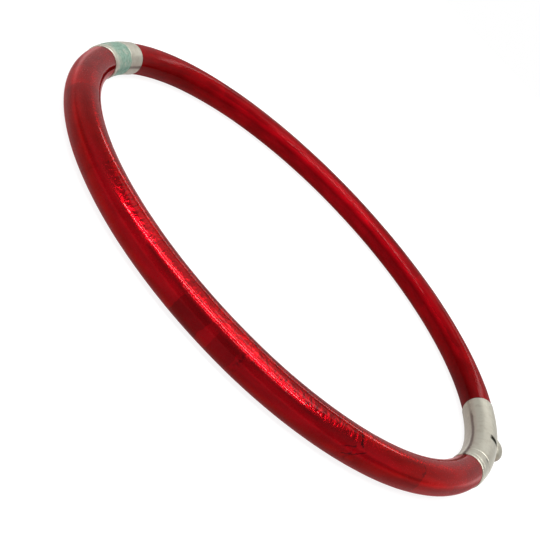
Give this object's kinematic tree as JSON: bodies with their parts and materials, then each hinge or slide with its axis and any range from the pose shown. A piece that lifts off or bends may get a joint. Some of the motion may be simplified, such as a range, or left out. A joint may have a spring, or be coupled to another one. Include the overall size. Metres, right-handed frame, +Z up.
{
  "type": "bangle bracelet",
  "caption": "Rigid round hinged bangle of thin round tube: translucent red enamel over foil, with silver-coloured hinge and push-button clasp sections.",
  "frame": {"origin": "centre of the closed ring, in the middle of the tube's thickness", "axes": "+Z up through the ring as it lies flat, +X towards the clasp section with the push button, -X towards the hinge, -Y towards the half that swings"},
  "size_m": [0.0713, 0.0698, 0.004],
  "materials": {
    "red_enamel": "translucent crimson vitreous enamel over crumpled foil, high gloss",
    "silver_foil": "crumpled bright foil, seen through the enamel",
    "core_brass": "plain drawn tube and rod, hidden",
    "silver_plate": "silver-plated brass, soft polish, worn and slightly warm",
    "verdigris_plate": "silver-plated brass with green verdigris around the hinge seam",
    "spring_steel": "bright spring strip and pin wire"
  },
  "bodies": {
    "far_half": {"far_enamel": "red_enamel", "far_foil": "silver_foil", "far_core_tube": "core_brass", "far_clasp_dowel": "core_brass", "far_hinge_dowel": "core_brass", "far_hinge_cap": "verdigris_plate", "hinge_pin": "spring_steel", "clasp_housing": "silver_plate", "catch_plate": "silver_plate"},
    "near_half": {"near_enamel": "red_enamel", "near_foil": "silver_foil", "near_core_tube": "core_brass", "near_hinge_dowel": "core_brass", "near_clasp_dowel": "core_brass", "near_hinge_ferrule": "verdigris_plate", "near_clasp_ferrule": "silver_plate", "near_hinge_cap": "verdigris_plate", "tongue_cap": "silver_plate", "tongue_bar": "spring_steel"},
    "push_button": {"push_button": "silver_plate"},
    "spring_leaf": {"spring_leaf": "spring_steel"}
  },
  "joints": [
    {"name": "near_swing", "type": "hinge", "parent": "far_half", "child": "near_half", "pos_m": [-0.0339, -0.00041, 0], "axis": [0, 0, -1], "range_deg": [0, 45]},
    {"name": "button_press", "type": "slide", "parent": "far_half", "child": "push_button", "axis": [-0.9998, -0.0175, 0], "range_m": [0, 0.0004], "stiffness_N_per_m": 1500, "springref_m": -0.0006},
    {"name": "leaf_bend", "type": "hinge", "parent": "near_half", "child": "spring_leaf", "pos_m": [0.03278, 0.00401, 0], "axis": [0, 0, -1], "range_deg": [0, 5]}
  ],
  "couplings": [
    {"joint": "leaf_bend", "follows": "button_press", "rad_per_m": 189.4}
  ]
}
